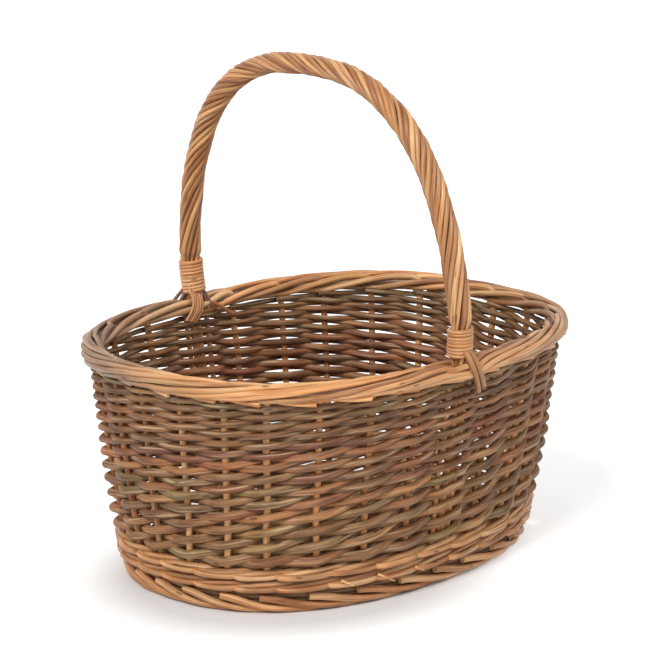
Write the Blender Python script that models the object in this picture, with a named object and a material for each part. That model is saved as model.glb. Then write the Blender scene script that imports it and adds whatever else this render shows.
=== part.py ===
# Oval willow shopping basket: raised base, foot, upsett, siding, rolled border, roped bow handle.
# Metres, +Z up. The origin is on the floor under the middle of the basket. +X runs along the
# long side, and the handle stands over the Y axis.

import math

import bmesh
import bpy
import numpy as np
from mathutils import Vector

mm = 0.001

# Counts
STATIONS = 27
HANDLE_STATIONS = (7, 20)
COURSES = 10
WALE_ROWS = 3
WALE_ROD_COUNT = 3
LONG_STICKS = 3
CROSS_STICKS = 5

# Line of the stakes, an oval that opens upwards
OVAL_POWER = 2.55
LINE_LONG_HALF_LOW = 190.5 * mm
LINE_WIDE_HALF_LOW = 132.3 * mm
LINE_LONG_HALF_HIGH = 212.4 * mm
LINE_WIDE_HALF_HIGH = 161.8 * mm
BORDER_MIDDLE = 196.0 * mm
# How far each stake stands past its even place, in shares of the spacing, as set by hand
STATION_DRIFTS = (
    -0.22, -0.31, -0.41, -0.39, -0.36, -0.36, -0.11, -0.10, 0.34,
    0.58, 0.56, 0.50, 0.45, 0.24, 0.20, 0.11, -0.10, -0.13,
    -0.10, -0.05, 0.03, 0.09, 0.19, 0.11, 0.03, -0.08, -0.19)

# Rods
STAKE_RADIUS = 2.75 * mm
TIP_RADIUS = 2.2 * mm
LINER_RADIUS = 2.4 * mm
BOW_RADIUS = 4.8 * mm
LONG_STICK_RADIUS = 2.5 * mm
CROSS_STICK_RADIUS = 4.5 * mm

# Clearances
TOUCH_GAP = 0.3 * mm
WEAVE_GAP = 0.35 * mm
ROPING_GAP = 1.1 * mm
CUT_OVERRUN = 6.0 * mm

# Fineness of the shapes
ARC_SAMPLES = 7200
ARCH_SAMPLES = 2000
TANGENT_STEP = math.radians(0.5)
SHARP_ANGLE = math.radians(40)
WELD_DISTANCE = 0.01 * mm
THIN_ROD_SIDES_STEP = 1
STICK_SIDES_STEP = 2
THICK_STICK_SIDES_STEP = 3

# Foot and base
FOOT_HEIGHT = 18.5 * mm
FOOT_DIP = 5.0 * mm
FOOT_OUTER_REACH = 5.5 * mm
FOOT_SOLE_REACH = 3.5 * mm
FOOT_BULGE_HEIGHT = 6.0 * mm
FOOT_CROWN_REACH = 4.0 * mm
FOOT_SHELF_WIDTH = 4.0 * mm
FOOT_SHELF_HEIGHT = 12.0 * mm
BASE_THICKNESS = 12.0 * mm
BASE_EDGE_GAP = 1.2 * mm
BASE_EDGE_ROUND = 2.0 * mm
BASE_OUTLINE_POINTS = 60
LONG_STICK_SPACING = 6.5 * mm
LONG_STICK_SPLAY = 36.0 * mm
CROSS_STICK_SPACING = 40.0 * mm

# Upsett and siding
WALE_HEIGHT = 6.9 * mm
WALE_THICKNESS = 5.0 * mm
COURSE_THICKNESS = 5.5 * mm
ROW_GAP = 0.6 * mm
ROW_OPENING = 2.6 * mm
HANDLE_GROUP_HALF = 11.0 * mm

# Rolled border. Each stake bends to the right at the inner edge, passes inside the next stake,
# comes out under the others and climbs over them, up to the inner edge again.
BORDER_OUTER_REACH = 10.4 * mm
BORDER_UPPER_REACH = 8.2 * mm
BORDER_UNDERSIDE = 8.4 * mm
BEND_RISE = 1.5 * mm
# Stations past the stake, then shares of the outer and of the upper reach
BORDER_PATH_SHARES = (
    (0.10, -0.03, 0.63),
    (0.45, -0.28, 0.60),
    (0.80, -0.58, 0.15),
    (1.10, -0.58, -0.37),
    (1.45, -0.06, -0.62),
    (1.80, 0.46, -0.66),
    (2.20, 0.75, -0.54),
    (2.65, 0.93, -0.23),
    (3.10, 1.00, 0.16),
    (3.50, 0.88, 0.46),
    (3.90, 0.67, 0.67),
    (4.30, 0.46, 0.87),
    (4.70, 0.19, 1.00))
HANDLE_PASS_SHIFT = 2.0 * mm
HANDLE_PASS_BLEND = 2.4 * mm
HANDLE_PASS_LENGTH = 16.0 * mm

# Handle
HANDLE_HALF_SPAN = 165.2 * mm
HANDLE_RISE = 239.2 * mm
HANDLE_POWER = 2.5
HANDLE_LEAN = -17.0 * mm
HANDLE_SKEW = 9.0 * mm
HANDLE_SETTLE = 45.0 * mm
HANDLE_POINTS = 40
BOW_FOOT_LIFT = 2.4 * mm
BOW_SMOOTHING = 20.0 * mm
ROPING_START = 11.5 * mm
ROPING_RADIUS = 10.2 * mm
ROPING_WAIST_RADIUS = 7.9 * mm
ROPING_FLARE = 10.0 * mm
ROPING_SEAM = 1.8 * mm
ROPING_LEAD = 130.0 * mm
ROPING_BUNDLES = 2
ROPING_STEPS = 52
ROPING_INNER_POINTS = 5
ROPING_OUTER_POINTS = 5

# Lappings
LAPPING_POINTS = 12
LAPPING_GAP = 0.4 * mm
NEAR_LAPPING_TURNS = 8.0
NEAR_LAPPING_PITCH = 3.1 * mm
NEAR_LAPPING_RADIUS = 1.3 * mm
FAR_LAPPING_TURNS = 9.5
FAR_LAPPING_PITCH = 3.4 * mm
FAR_LAPPING_RADIUS = 1.4 * mm

# Heights and places that follow
BASE_BOTTOM = FOOT_SHELF_HEIGHT + TOUCH_GAP
BASE_TOP = BASE_BOTTOM + BASE_THICKNESS
BASE_MIDDLE = (BASE_BOTTOM + BASE_TOP) / 2
STAKE_FOOT = FOOT_HEIGHT + TOUCH_GAP
WALE_BOTTOM = STAKE_FOOT
WALE_PITCH = WALE_HEIGHT + TOUCH_GAP
SIDING_BOTTOM = WALE_BOTTOM + WALE_ROWS * WALE_PITCH
SIDING_TOP = BORDER_MIDDLE - BORDER_UNDERSIDE
COURSE_PITCH = (SIDING_TOP - SIDING_BOTTOM) / COURSES
ROPING_FOOT = BORDER_MIDDLE + ROPING_START
LINER_OFFSET = BOW_RADIUS + TOUCH_GAP + LINER_RADIUS


# Scene

def clear_scene():
    for item in list(bpy.data.objects):
        bpy.data.objects.remove(item, do_unlink=True)


def new_collection(name):
    group = bpy.data.collections.new(name)
    bpy.context.scene.collection.children.link(group)
    return group


clear_scene()
BASKET = new_collection("willow_shopping_basket")
CUTTERS = new_collection("cutters")


def willow(name, colour, roughness):
    material = bpy.data.materials.new(name)
    material.use_nodes = True
    shader = material.node_tree.nodes["Principled BSDF"]
    shader.inputs["Base Color"].default_value = (*colour, 1)
    shader.inputs["Roughness"].default_value = roughness
    shader.inputs["Metallic"].default_value = 0
    return material


BUFF_STAKE = willow("buff_stake", (0.52, 0.30, 0.13), 0.55)
BUFF_BORDER = willow("buff_wale", (0.47, 0.26, 0.11), 0.55)
BUFF_HANDLE = willow("buff_handle", (0.50, 0.29, 0.12), 0.5)
BUFF_LAPPING = willow("buff_lapping", (0.55, 0.33, 0.15), 0.5)
BARK_RED = willow("bark_red", (0.20, 0.11, 0.07), 0.65)
BARK_GREEN = willow("bark_green", (0.17, 0.15, 0.08), 0.65)
BASE_ROD = willow("base_rod", (0.40, 0.24, 0.11), 0.6)


# Ovals

def power(value, exponent):
    return math.copysign(abs(value) ** exponent, value)


def oval_point(angle, long_half, wide_half):
    share = 2 / OVAL_POWER
    return Vector((long_half * power(math.cos(angle), share),
                   wide_half * power(math.sin(angle), share), 0))


def line_halves(height):
    rise = height / BORDER_MIDDLE
    long_half = LINE_LONG_HALF_LOW + (LINE_LONG_HALF_HIGH - LINE_LONG_HALF_LOW) * rise
    wide_half = LINE_WIDE_HALF_LOW + (LINE_WIDE_HALF_HIGH - LINE_WIDE_HALF_LOW) * rise
    return long_half, wide_half


def arc_table(long_half, wide_half):
    angles = np.linspace(0, math.tau, ARC_SAMPLES + 1)
    points = np.array([oval_point(a, long_half, wide_half) for a in angles])
    steps = np.linalg.norm(np.diff(points, axis=0), axis=1)
    return angles, np.concatenate(([0], np.cumsum(steps)))


ANGLES, ARCS = arc_table(*line_halves(BORDER_MIDDLE / 2))
SPACING = ARCS[-1] / STATIONS


def station_drift(station):
    # The drift at any place round the oval: a smooth curve through the stakes' own drifts.
    whole = math.floor(station)
    before, here, ahead, beyond = (STATION_DRIFTS[(whole + i) % STATIONS] for i in (-1, 0, 1, 2))
    share = station - whole
    slope_here, slope_ahead = (ahead - before) / 2, (beyond - here) / 2
    return (here + slope_here * share
            + (3 * (ahead - here) - 2 * slope_here - slope_ahead) * share ** 2
            + (2 * (here - ahead) + slope_here + slope_ahead) * share ** 3)


def station_angle(station):
    turns = (station + station_drift(station)) / STATIONS
    return float(np.interp((turns % 1) * ARCS[-1], ARCS, ANGLES)) + math.tau * math.floor(turns)


def line_point(station, height, outward=0):
    # The point at a station on the stakes' line at a height, moved outwards square to the oval.
    long_half, wide_half = line_halves(height)
    angle = station_angle(station)
    here = oval_point(angle, long_half, wide_half)
    ahead = oval_point(angle + TANGENT_STEP, long_half, wide_half)
    behind = oval_point(angle - TANGENT_STEP, long_half, wide_half)
    along = (ahead - behind).normalized()
    normal = Vector((along.y, -along.x, 0))
    return here + normal * outward + Vector((0, 0, height))


# Solids

def add_mesh(name, mesh_data, material, group=BASKET):
    mesh = bpy.data.meshes.new(name)
    bmesh.ops.recalc_face_normals(mesh_data, faces=mesh_data.faces)
    mesh_data.to_mesh(mesh)
    mesh_data.free()
    mesh.materials.append(material)
    mesh.shade_smooth()
    mesh.set_sharp_from_angle(angle=SHARP_ANGLE)
    item = bpy.data.objects.new(name, mesh)
    group.objects.link(item)
    return item


def loft(name, sections, material, closed):
    # A skin over a row of sections with equal numbers of points, closed in a ring or capped.
    # Each patch is split along its shorter diagonal.
    solid = bmesh.new()
    rings = [[solid.verts.new(point) for point in section] for section in sections]
    pairs = list(zip(rings, rings[1:]))
    if closed:
        pairs.append((rings[-1], rings[0]))
    for first, second in pairs:
        for i in range(len(first)):
            j = (i + 1) % len(first)
            if (first[i].co - second[j].co).length < (first[j].co - second[i].co).length:
                solid.faces.new((first[i], first[j], second[j]))
                solid.faces.new((first[i], second[j], second[i]))
            else:
                solid.faces.new((first[i], first[j], second[i]))
                solid.faces.new((first[j], second[j], second[i]))
    if not closed:
        solid.faces.new(rings[0])
        solid.faces.new(rings[-1])
    return add_mesh(name, solid, material)


def rod(name, points, radius, material, sides_step=THIN_ROD_SIDES_STEP, radii=None, group=BASKET):
    curve = bpy.data.curves.new(name, "CURVE")
    curve.dimensions = "3D"
    curve.bevel_depth = radius
    curve.bevel_resolution = sides_step
    curve.use_fill_caps = True
    spline = curve.splines.new("POLY")
    spline.points.add(len(points) - 1)
    for i, point in enumerate(points):
        spline.points[i].co = (*point, 1)
        spline.points[i].radius = radii[i] / radius if radii else 1
    curve.materials.append(material)
    item = bpy.data.objects.new(name, curve)
    group.objects.link(item)
    return item


def as_mesh(item):
    # The rod as a welded mesh that a Boolean can cut or use.
    graph = bpy.context.evaluated_depsgraph_get()
    mesh = bpy.data.meshes.new_from_object(item.evaluated_get(graph))
    weld = bmesh.new()
    weld.from_mesh(mesh)
    bmesh.ops.remove_doubles(weld, verts=weld.verts, dist=WELD_DISTANCE)
    bmesh.ops.recalc_face_normals(weld, faces=weld.faces)
    weld.to_mesh(mesh)
    weld.free()
    solid = bpy.data.objects.new(item.name, mesh)
    solid.matrix_world = item.matrix_world
    group = item.users_collection[0]
    name = item.name
    bpy.data.objects.remove(item, do_unlink=True)
    solid.name = name
    group.objects.link(solid)
    return solid


def as_cutter(item):
    item.hide_render = True
    item.display_type = "WIRE"
    return item


def cut(item, cutter):
    tool = item.modifiers.new("cut_" + cutter.name, "BOOLEAN")
    tool.operation = "DIFFERENCE"
    tool.solver = "EXACT"
    tool.object = cutter


def weld(item):
    # Joins the points that cuts leave almost on each other.
    joining = item.modifiers.new("weld", "WELD")
    joining.merge_threshold = WELD_DISTANCE


# Base

def foot_top(station):
    # High at each stake, where a foot rod rises beside it, and low between.
    between = abs(station - round(station)) * 2
    return FOOT_HEIGHT - FOOT_DIP * between


def foot_border():
    shelf_edge = base_edge_reach() - BASE_EDGE_GAP / 2
    sole_inner = shelf_edge + FOOT_SHELF_WIDTH
    sections = []
    for half in range(STATIONS * 2):
        station = half / 2
        top = foot_top(station)
        sections.append((
            line_point(station, 0, -sole_inner),
            line_point(station, 0, FOOT_SOLE_REACH),
            line_point(station, FOOT_BULGE_HEIGHT, FOOT_OUTER_REACH),
            line_point(station, top, FOOT_CROWN_REACH),
            line_point(station, top, -shelf_edge),
            line_point(station, FOOT_SHELF_HEIGHT, -shelf_edge),
            line_point(station, FOOT_SHELF_HEIGHT, -sole_inner)))
    return loft("foot_border", sections, BUFF_BORDER, True)


def base_edge_reach():
    # How far the floor's edge lies inside the stakes' line: clear of the upsett's inner waves.
    return STAKE_RADIUS + WEAVE_GAP + WALE_THICKNESS + BASE_EDGE_GAP


def base_outline(height, inset):
    lift = Vector((0, 0, height - BASE_BOTTOM))
    return [line_point(STATIONS * i / BASE_OUTLINE_POINTS, BASE_BOTTOM, -base_edge_reach() - inset) + lift
            for i in range(BASE_OUTLINE_POINTS)]


def oval_reach(place, half_beside, half_along):
    # How far the oval reaches along one axis at a place on the other.
    return half_along * (1 - abs(place / half_beside) ** OVAL_POWER) ** (1 / OVAL_POWER)


def base_halves():
    return [half - base_edge_reach() for half in line_halves(BASE_BOTTOM)]


def long_stick_points(row, overrun):
    # Side by side through the cross sticks, then spread towards the ends of the oval.
    near = row * LONG_STICK_SPACING
    far = row * LONG_STICK_SPLAY
    straight = (CROSS_STICKS - 1) / 2 * CROSS_STICK_SPACING + CROSS_STICK_RADIUS * 2
    long_half, wide_half = base_halves()
    end_reach = oval_reach(far, wide_half, long_half) - TOUCH_GAP
    reach = end_reach + overrun
    slope = (far - near) / (end_reach - straight)
    end = near + slope * (reach - straight)
    return [Vector((-reach, end, BASE_MIDDLE)), Vector((-straight, near, BASE_MIDDLE)),
            Vector((straight, near, BASE_MIDDLE)), Vector((reach, end, BASE_MIDDLE))]


def cross_stick_points(column, overrun):
    x = column * CROSS_STICK_SPACING
    long_half, wide_half = base_halves()
    reach = oval_reach(x, long_half, wide_half) - TOUCH_GAP + overrun
    return [Vector((x, -reach, BASE_MIDDLE)), Vector((x, reach, BASE_MIDDLE))]


def slit_cutter():
    width = (LONG_STICKS - 1) * LONG_STICK_SPACING + 2 * (LONG_STICK_RADIUS + TOUCH_GAP)
    height = 2 * (LONG_STICK_RADIUS + TOUCH_GAP)
    length = (CROSS_STICKS - 1) * CROSS_STICK_SPACING + 2 * (CROSS_STICK_RADIUS + CUT_OVERRUN)
    solid = bmesh.new()
    bmesh.ops.create_cube(solid, size=1)
    bmesh.ops.scale(solid, vec=(length, width, height), verts=solid.verts)
    bmesh.ops.translate(solid, vec=(0, 0, BASE_MIDDLE), verts=solid.verts)
    return as_cutter(add_mesh("slit", solid, BASE_ROD, CUTTERS))


def base():
    floor = loft("base_weave", (base_outline(BASE_BOTTOM, BASE_EDGE_ROUND),
                                base_outline(BASE_BOTTOM + BASE_EDGE_ROUND, 0),
                                base_outline(BASE_TOP - BASE_EDGE_ROUND, 0),
                                base_outline(BASE_TOP, BASE_EDGE_ROUND)), BASE_ROD, False)
    slit = slit_cutter()
    for i in range(CROSS_STICKS):
        column = i - (CROSS_STICKS - 1) / 2
        name = "cross_base_stick_%d" % (i + 1)
        stick = as_mesh(rod(name, cross_stick_points(column, 0), CROSS_STICK_RADIUS, BASE_ROD,
                            THICK_STICK_SIDES_STEP))
        cut(stick, slit)
        tunnel = as_mesh(rod("tunnel_" + name, cross_stick_points(column, CUT_OVERRUN),
                             CROSS_STICK_RADIUS + TOUCH_GAP, BASE_ROD, THICK_STICK_SIDES_STEP,
                             group=CUTTERS))
        cut(floor, as_cutter(tunnel))
    for i in range(LONG_STICKS):
        row = i - (LONG_STICKS - 1) / 2
        name = "long_base_stick_%d" % (i + 1)
        rod(name, long_stick_points(row, 0), LONG_STICK_RADIUS, BASE_ROD, STICK_SIDES_STEP)
        tunnel = as_mesh(rod("tunnel_" + name, long_stick_points(row, CUT_OVERRUN),
                             LONG_STICK_RADIUS + TOUCH_GAP, BASE_ROD, STICK_SIDES_STEP,
                             group=CUTTERS))
        cut(floor, as_cutter(tunnel))
    weld(floor)


# Upsett and siding

def row_stations(reaches):
    # Places along one row, its reach there and whether a stake stands there: half way between
    # stakes the reach is the mean of the two. A row keeps its reach past the bow and its liners.
    flat = HANDLE_GROUP_HALF / SPACING
    places = []
    for station in range(STATIONS):
        if station in HANDLE_STATIONS:
            places.append((station - flat, reaches[station], True))
            places.append((station + flat, reaches[station], True))
        else:
            places.append((station, reaches[station], True))
        following = reaches[(station + 1) % STATIONS]
        places.append((station + 0.5, (reaches[station] + following) / 2, False))
    return places


def woven_row(name, low, high, thickness, reaches, material, opening=0):
    # Drawn in at the stakes, so that light passes on both sides of each, full where rows cross.
    sections = []
    for station, reach, at_stake in row_stations(reaches):
        inset = opening / 2 if at_stake else 0
        bottom, top = low + inset, high - inset
        sections.append((
            line_point(station, bottom, reach - thickness / 2),
            line_point(station, bottom, reach + thickness / 2),
            line_point(station, top, reach + thickness / 2),
            line_point(station, top, reach - thickness / 2)))
    return loft(name, sections, material, True)


def upsett():
    reach = STAKE_RADIUS + WEAVE_GAP + WALE_THICKNESS / 2
    for row in range(WALE_ROWS):
        low = WALE_BOTTOM + row * WALE_PITCH
        reaches = [-reach if (station + row) % WALE_ROD_COUNT == 0 else reach
                   for station in range(STATIONS)]
        woven_row("upsett_wale_%d" % (row + 1), low, low + WALE_HEIGHT, WALE_THICKNESS,
                  reaches, BUFF_BORDER)


def siding():
    for course in range(COURSES):
        low = SIDING_BOTTOM + course * COURSE_PITCH
        reaches = []
        for station in range(STATIONS):
            carried = BOW_RADIUS if station in HANDLE_STATIONS else STAKE_RADIUS
            reach = carried + WEAVE_GAP + COURSE_THICKNESS / 2
            reaches.append(reach if (station + course) % 2 else -reach)
        woven_row("siding_course_%02d" % (course + 1), low, low + COURSE_PITCH - ROW_GAP,
                  COURSE_THICKNESS, reaches, BARK_GREEN if course % 2 else BARK_RED, ROW_OPENING)


# Stakes and the rolled border

def border_point(station, across, upward):
    # Strands move aside where the handle's bow comes up between them.
    away = min(abs(station_gap(station, handle)) for handle in HANDLE_STATIONS) * SPACING
    passing = math.exp(-(away / HANDLE_PASS_LENGTH) ** 2)
    across += HANDLE_PASS_SHIFT * math.tanh(across / HANDLE_PASS_BLEND) * passing
    return line_point(station, BORDER_MIDDLE, across) + Vector((0, 0, upward))


def station_gap(station, other):
    return (station - other + STATIONS / 2) % STATIONS - STATIONS / 2


def stake(station):
    points = [line_point(station, STAKE_FOOT), line_point(station, BORDER_MIDDLE + BEND_RISE)]
    radii = [STAKE_RADIUS, STAKE_RADIUS]
    whole = BORDER_PATH_SHARES[-1][0]
    for past, across, upward in BORDER_PATH_SHARES:
        points.append(border_point(station + past, across * BORDER_OUTER_REACH,
                                   upward * BORDER_UPPER_REACH))
        radii.append(STAKE_RADIUS + (TIP_RADIUS - STAKE_RADIUS) * past / whole)
    return points, radii


def stakes():
    number = 0
    for station in range(STATIONS):
        if station in HANDLE_STATIONS:
            continue
        number += 1
        points, radii = stake(station)
        rod("stake_%02d" % number, points, STAKE_RADIUS, BUFF_STAKE, THIN_ROD_SIDES_STEP, radii)


# Handle

def smooth(share):
    share = min(max(share, 0), 1)
    return share * share * (3 - 2 * share)


def arch_point(angle):
    # The arch from the near foot (angle 0) over the top to the far foot.
    rise = abs(math.sin(angle)) ** (2 / HANDLE_POWER)
    out = -HANDLE_HALF_SPAN * power(math.cos(angle), 2 / HANDLE_POWER)
    height = HANDLE_RISE * rise
    foot = line_point(HANDLE_STATIONS[0 if out > 0 else 1], BORDER_MIDDLE)
    x = foot.x + (HANDLE_LEAN - foot.x) * rise
    y = foot.y + (out - foot.y) * smooth(height / HANDLE_SETTLE)
    return Vector((x, y + HANDLE_SKEW * rise, BORDER_MIDDLE + height))


def bow_points():
    samples = [arch_point(math.pi * i / ARCH_SAMPLES) for i in range(ARCH_SAMPLES + 1)]
    samples[0].z = BORDER_MIDDLE
    samples[-1].z = BORDER_MIDDLE
    lengths = [0]
    for a, b in zip(samples, samples[1:]):
        lengths.append(lengths[-1] + (b - a).length)
    places = np.linspace(0, lengths[-1], HANDLE_POINTS)
    columns = [np.interp(places, lengths, [point[k] for point in samples]) for k in range(3)]
    arch = [Vector(point) for point in zip(*columns)]
    low = SIDING_BOTTOM + BOW_FOOT_LIFT
    near, far = (line_point(HANDLE_STATIONS[1], low), line_point(HANDLE_STATIONS[0], low))
    return [near] + arch + [far]


BOW = bow_points()


def bow_path():
    lengths = [0]
    for a, b in zip(BOW, BOW[1:]):
        lengths.append(lengths[-1] + (b - a).length)
    return np.array(lengths), np.array([tuple(point) for point in BOW])


BOW_LENGTHS, BOW_PLACES = bow_path()


def bow_place(distance):
    return Vector([float(np.interp(distance, BOW_LENGTHS, BOW_PLACES[:, k])) for k in range(3)])


def bow_frame(distance):
    # Two directions square to the bow: one near the long side's direction, one in the arch.
    along = (bow_place(distance + BOW_SMOOTHING) - bow_place(distance - BOW_SMOOTHING)).normalized()
    side = (Vector((1, 0, 0)) - along * along.x).normalized()
    return side, along.cross(side)


def around_bow(distance, angle, radius):
    side, inward = bow_frame(distance)
    return bow_place(distance) + (side * math.cos(angle) + inward * math.sin(angle)) * radius


def height_distance(height, far):
    # How far along the bow a height on the near or the far leg lies.
    half = len(BOW) // 2
    legs = slice(half, None) if far else slice(0, half)
    heights = BOW_PLACES[legs, 2]
    lengths = BOW_LENGTHS[legs]
    order = np.argsort(heights)
    return float(np.interp(height, heights[order], lengths[order]))


ROPING_NEAR = height_distance(ROPING_FOOT, False)
ROPING_FAR = height_distance(ROPING_FOOT, True)
NEAR_LAPPING_LENGTH = NEAR_LAPPING_TURNS * NEAR_LAPPING_PITCH + 2 * NEAR_LAPPING_RADIUS
FAR_LAPPING_LENGTH = FAR_LAPPING_TURNS * FAR_LAPPING_PITCH + 2 * FAR_LAPPING_RADIUS


def roping_radius(distance):
    # Drawn in under each lapping, full between them.
    past_near = (distance - ROPING_NEAR - NEAR_LAPPING_LENGTH) / ROPING_FLARE
    past_far = (ROPING_FAR - FAR_LAPPING_LENGTH - distance) / ROPING_FLARE
    swell = smooth(min(past_near, past_far))
    return ROPING_WAIST_RADIUS + (ROPING_RADIUS - ROPING_WAIST_RADIUS) * swell


def roping(bundle):
    inner = BOW_RADIUS + ROPING_GAP
    share = math.tau / ROPING_BUNDLES
    sections = []
    for step in range(ROPING_STEPS + 1):
        distance = ROPING_NEAR + (ROPING_FAR - ROPING_NEAR) * step / ROPING_STEPS
        start = share * bundle + math.tau * (distance - ROPING_NEAR) / ROPING_LEAD
        outer = roping_radius(distance)
        margin = ROPING_SEAM / 2 / inner
        span = share - 2 * margin
        section = [around_bow(distance, start + margin + span * i / (ROPING_INNER_POINTS - 1), inner)
                   for i in range(ROPING_INNER_POINTS)]
        section += [around_bow(distance, start + margin + span * i / (ROPING_OUTER_POINTS - 1), outer)
                    for i in reversed(range(ROPING_OUTER_POINTS))]
        sections.append(section)
    return loft("handle_roping_%d" % (bundle + 1), sections, BUFF_HANDLE, False)


def lapping(name, start, turns, pitch, radius):
    # One winding round the roping's waist, from its lower end to its upper end.
    reach = ROPING_WAIST_RADIUS + LAPPING_GAP + radius
    reach /= math.cos(math.pi / LAPPING_POINTS)
    count = round(turns * LAPPING_POINTS)
    sign = 1 if turns * pitch > 0 else -1
    points = [around_bow(start + pitch * i / LAPPING_POINTS, sign * math.tau * i / LAPPING_POINTS, reach)
              for i in range(count + 1)]
    gap = least_self_gap(points, radius, abs(pitch))
    print("%s least gap to itself %.2f mm" % (name, gap / mm))
    return rod(name, points, radius, BUFF_LAPPING)


def least_self_gap(points, radius, pitch):
    # Between turns: pairs of points at least half a turn apart along the winding.
    places = np.array([tuple(point) for point in points])
    apart = LAPPING_POINTS // 2
    least = pitch
    for i in range(len(places) - apart):
        least = min(least, np.linalg.norm(places[i + apart:] - places[i], axis=1).min())
    return least - 2 * radius


def liners():
    # The liner on the right of the bow, seen from outside, goes on into the border as a stake does.
    for name, station in (("near", HANDLE_STATIONS[1]), ("far", HANDLE_STATIONS[0])):
        left = station - LINER_OFFSET / SPACING
        rod(name + "_handle_liner_left", [line_point(left, STAKE_FOOT), line_point(left, SIDING_TOP)],
            LINER_RADIUS, BUFF_STAKE)
        points, radii = stake(station + LINER_OFFSET / SPACING)
        radii = [min(radius, LINER_RADIUS) for radius in radii]
        rod(name + "_handle_liner_right", points, LINER_RADIUS, BUFF_STAKE, THIN_ROD_SIDES_STEP, radii)


def handle():
    rod("handle_bow", BOW, BOW_RADIUS, BUFF_HANDLE, STICK_SIDES_STEP)
    liners()
    for bundle in range(ROPING_BUNDLES):
        roping(bundle)
    lapping("near_handle_lapping", ROPING_NEAR + NEAR_LAPPING_RADIUS, NEAR_LAPPING_TURNS,
            NEAR_LAPPING_PITCH, NEAR_LAPPING_RADIUS)
    lapping("far_handle_lapping", ROPING_FAR - FAR_LAPPING_RADIUS, FAR_LAPPING_TURNS,
            -FAR_LAPPING_PITCH, FAR_LAPPING_RADIUS)


foot_border()
base()
upsett()
siding()
stakes()
handle()
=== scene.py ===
import math

import bpy
import numpy as np
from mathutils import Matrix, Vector


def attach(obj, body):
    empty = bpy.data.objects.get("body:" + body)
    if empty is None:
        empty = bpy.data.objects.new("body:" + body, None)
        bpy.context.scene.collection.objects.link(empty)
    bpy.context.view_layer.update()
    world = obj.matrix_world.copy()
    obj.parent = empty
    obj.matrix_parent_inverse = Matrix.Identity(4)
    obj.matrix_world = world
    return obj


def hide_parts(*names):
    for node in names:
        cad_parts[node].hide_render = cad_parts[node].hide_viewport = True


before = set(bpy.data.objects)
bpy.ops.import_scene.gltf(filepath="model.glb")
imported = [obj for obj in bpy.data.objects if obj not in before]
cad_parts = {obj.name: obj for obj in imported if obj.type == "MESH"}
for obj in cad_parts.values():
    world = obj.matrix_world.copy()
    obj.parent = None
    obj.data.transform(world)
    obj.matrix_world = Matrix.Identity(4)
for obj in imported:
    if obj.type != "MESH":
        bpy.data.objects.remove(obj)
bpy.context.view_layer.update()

mm = 0.001


def justThis(piece):  # nothing else stays selected, the CAD pieces neither
    bpy.ops.object.select_all(action="DESELECT")
    piece.select_set(True)
    bpy.context.view_layer.objects.active = piece


def fromScreen(red, green, blue):  # a colour as read off, 0 to 255, into the shader's own values
    steps = np.array([red, green, blue]) / 255
    return np.where(steps <= 0.04045, steps / 12.92, ((steps + 0.055) / 1.055) ** 2.4)


def glide(share):
    share = np.clip(share, 0, 1)
    return share * share * (3 - 2 * share)


def between(pair, share):
    return pair[0] + (pair[1] - pair[0]) * share


def curveOn(one, other, leaving, arriving, share):  # from one to the other, with the slopes at both
    return (one + leaving * share + (3 * (other - one) - 2 * leaving - arriving) * share ** 2
            + (2 * (one - other) + leaving + arriving) * share ** 3)


# the line of the stakes: the same oval, opening upwards, as in the model

wall = {
    "stations": 27,
    "handleAt": (7, 20),  # the stakes beside its far and its near foot
    "drifts": (  # how far each stake stands past its even place, in shares of the spacing
        -0.22, -0.31, -0.41, -0.39, -0.36, -0.36, -0.11, -0.10, 0.34,
        0.58, 0.56, 0.50, 0.45, 0.24, 0.20, 0.11, -0.10, -0.13,
        -0.10, -0.05, 0.03, 0.09, 0.19, 0.11, 0.03, -0.08, -0.19),
    "squareness": 2.55, "footSquareness": 2.32, "roundedBelow": 90 * mm,
    # at the floor and at the border
    "longHalf": (190.5 * mm, 212.4 * mm), "wideHalf": (132.3 * mm, 161.8 * mm),
    "borderMiddle": 196.0 * mm,
    "stakeRadius": 3.0 * mm,
    "bowRadius": 4.8 * mm,
    "steps": 7200, "turnStep": 0.5,  # places that measure the oval, degrees that give its direction
}


def ovalAt(angle, longHalf, wideHalf, squareness=wall["squareness"]):
    share = 2 / squareness
    cosine, sine = np.cos(angle), np.sin(angle)
    return np.stack([longHalf * np.sign(cosine) * np.abs(cosine) ** share,
                     wideHalf * np.sign(sine) * np.abs(sine) ** share], axis=-1)


def halvesAt(height):
    rise = np.asarray(height) / wall["borderMiddle"]
    return between(wall["longHalf"], rise), between(wall["wideHalf"], rise)


def alongOf(places):  # the length run up to each place
    steps = np.linalg.norm(np.diff(places, axis=0), axis=1)
    return np.concatenate(([0], np.cumsum(steps)))


ovalAngles = np.linspace(0, math.tau, wall["steps"] + 1)
ovalArcs = alongOf(ovalAt(ovalAngles, *halvesAt(wall["borderMiddle"] / 2)))
spacing = ovalArcs[-1] / wall["stations"]


def driftAt(station):  # a smooth curve through the stakes' own drifts
    places = np.array(wall["drifts"])
    whole = np.floor(station).astype(int)
    before, here, ahead, beyond = (places[(whole + step) % len(places)] for step in (-1, 0, 1, 2))
    return curveOn(here, ahead, (ahead - before) / 2, (beyond - here) / 2, station - whole)


def angleAt(station):
    station = np.asarray(station, float)
    turns = (station + driftAt(station)) / wall["stations"]
    whole = np.floor(turns)
    return np.interp((turns - whole) * ovalArcs[-1], ovalArcs, ovalAngles) + math.tau * whole


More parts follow.
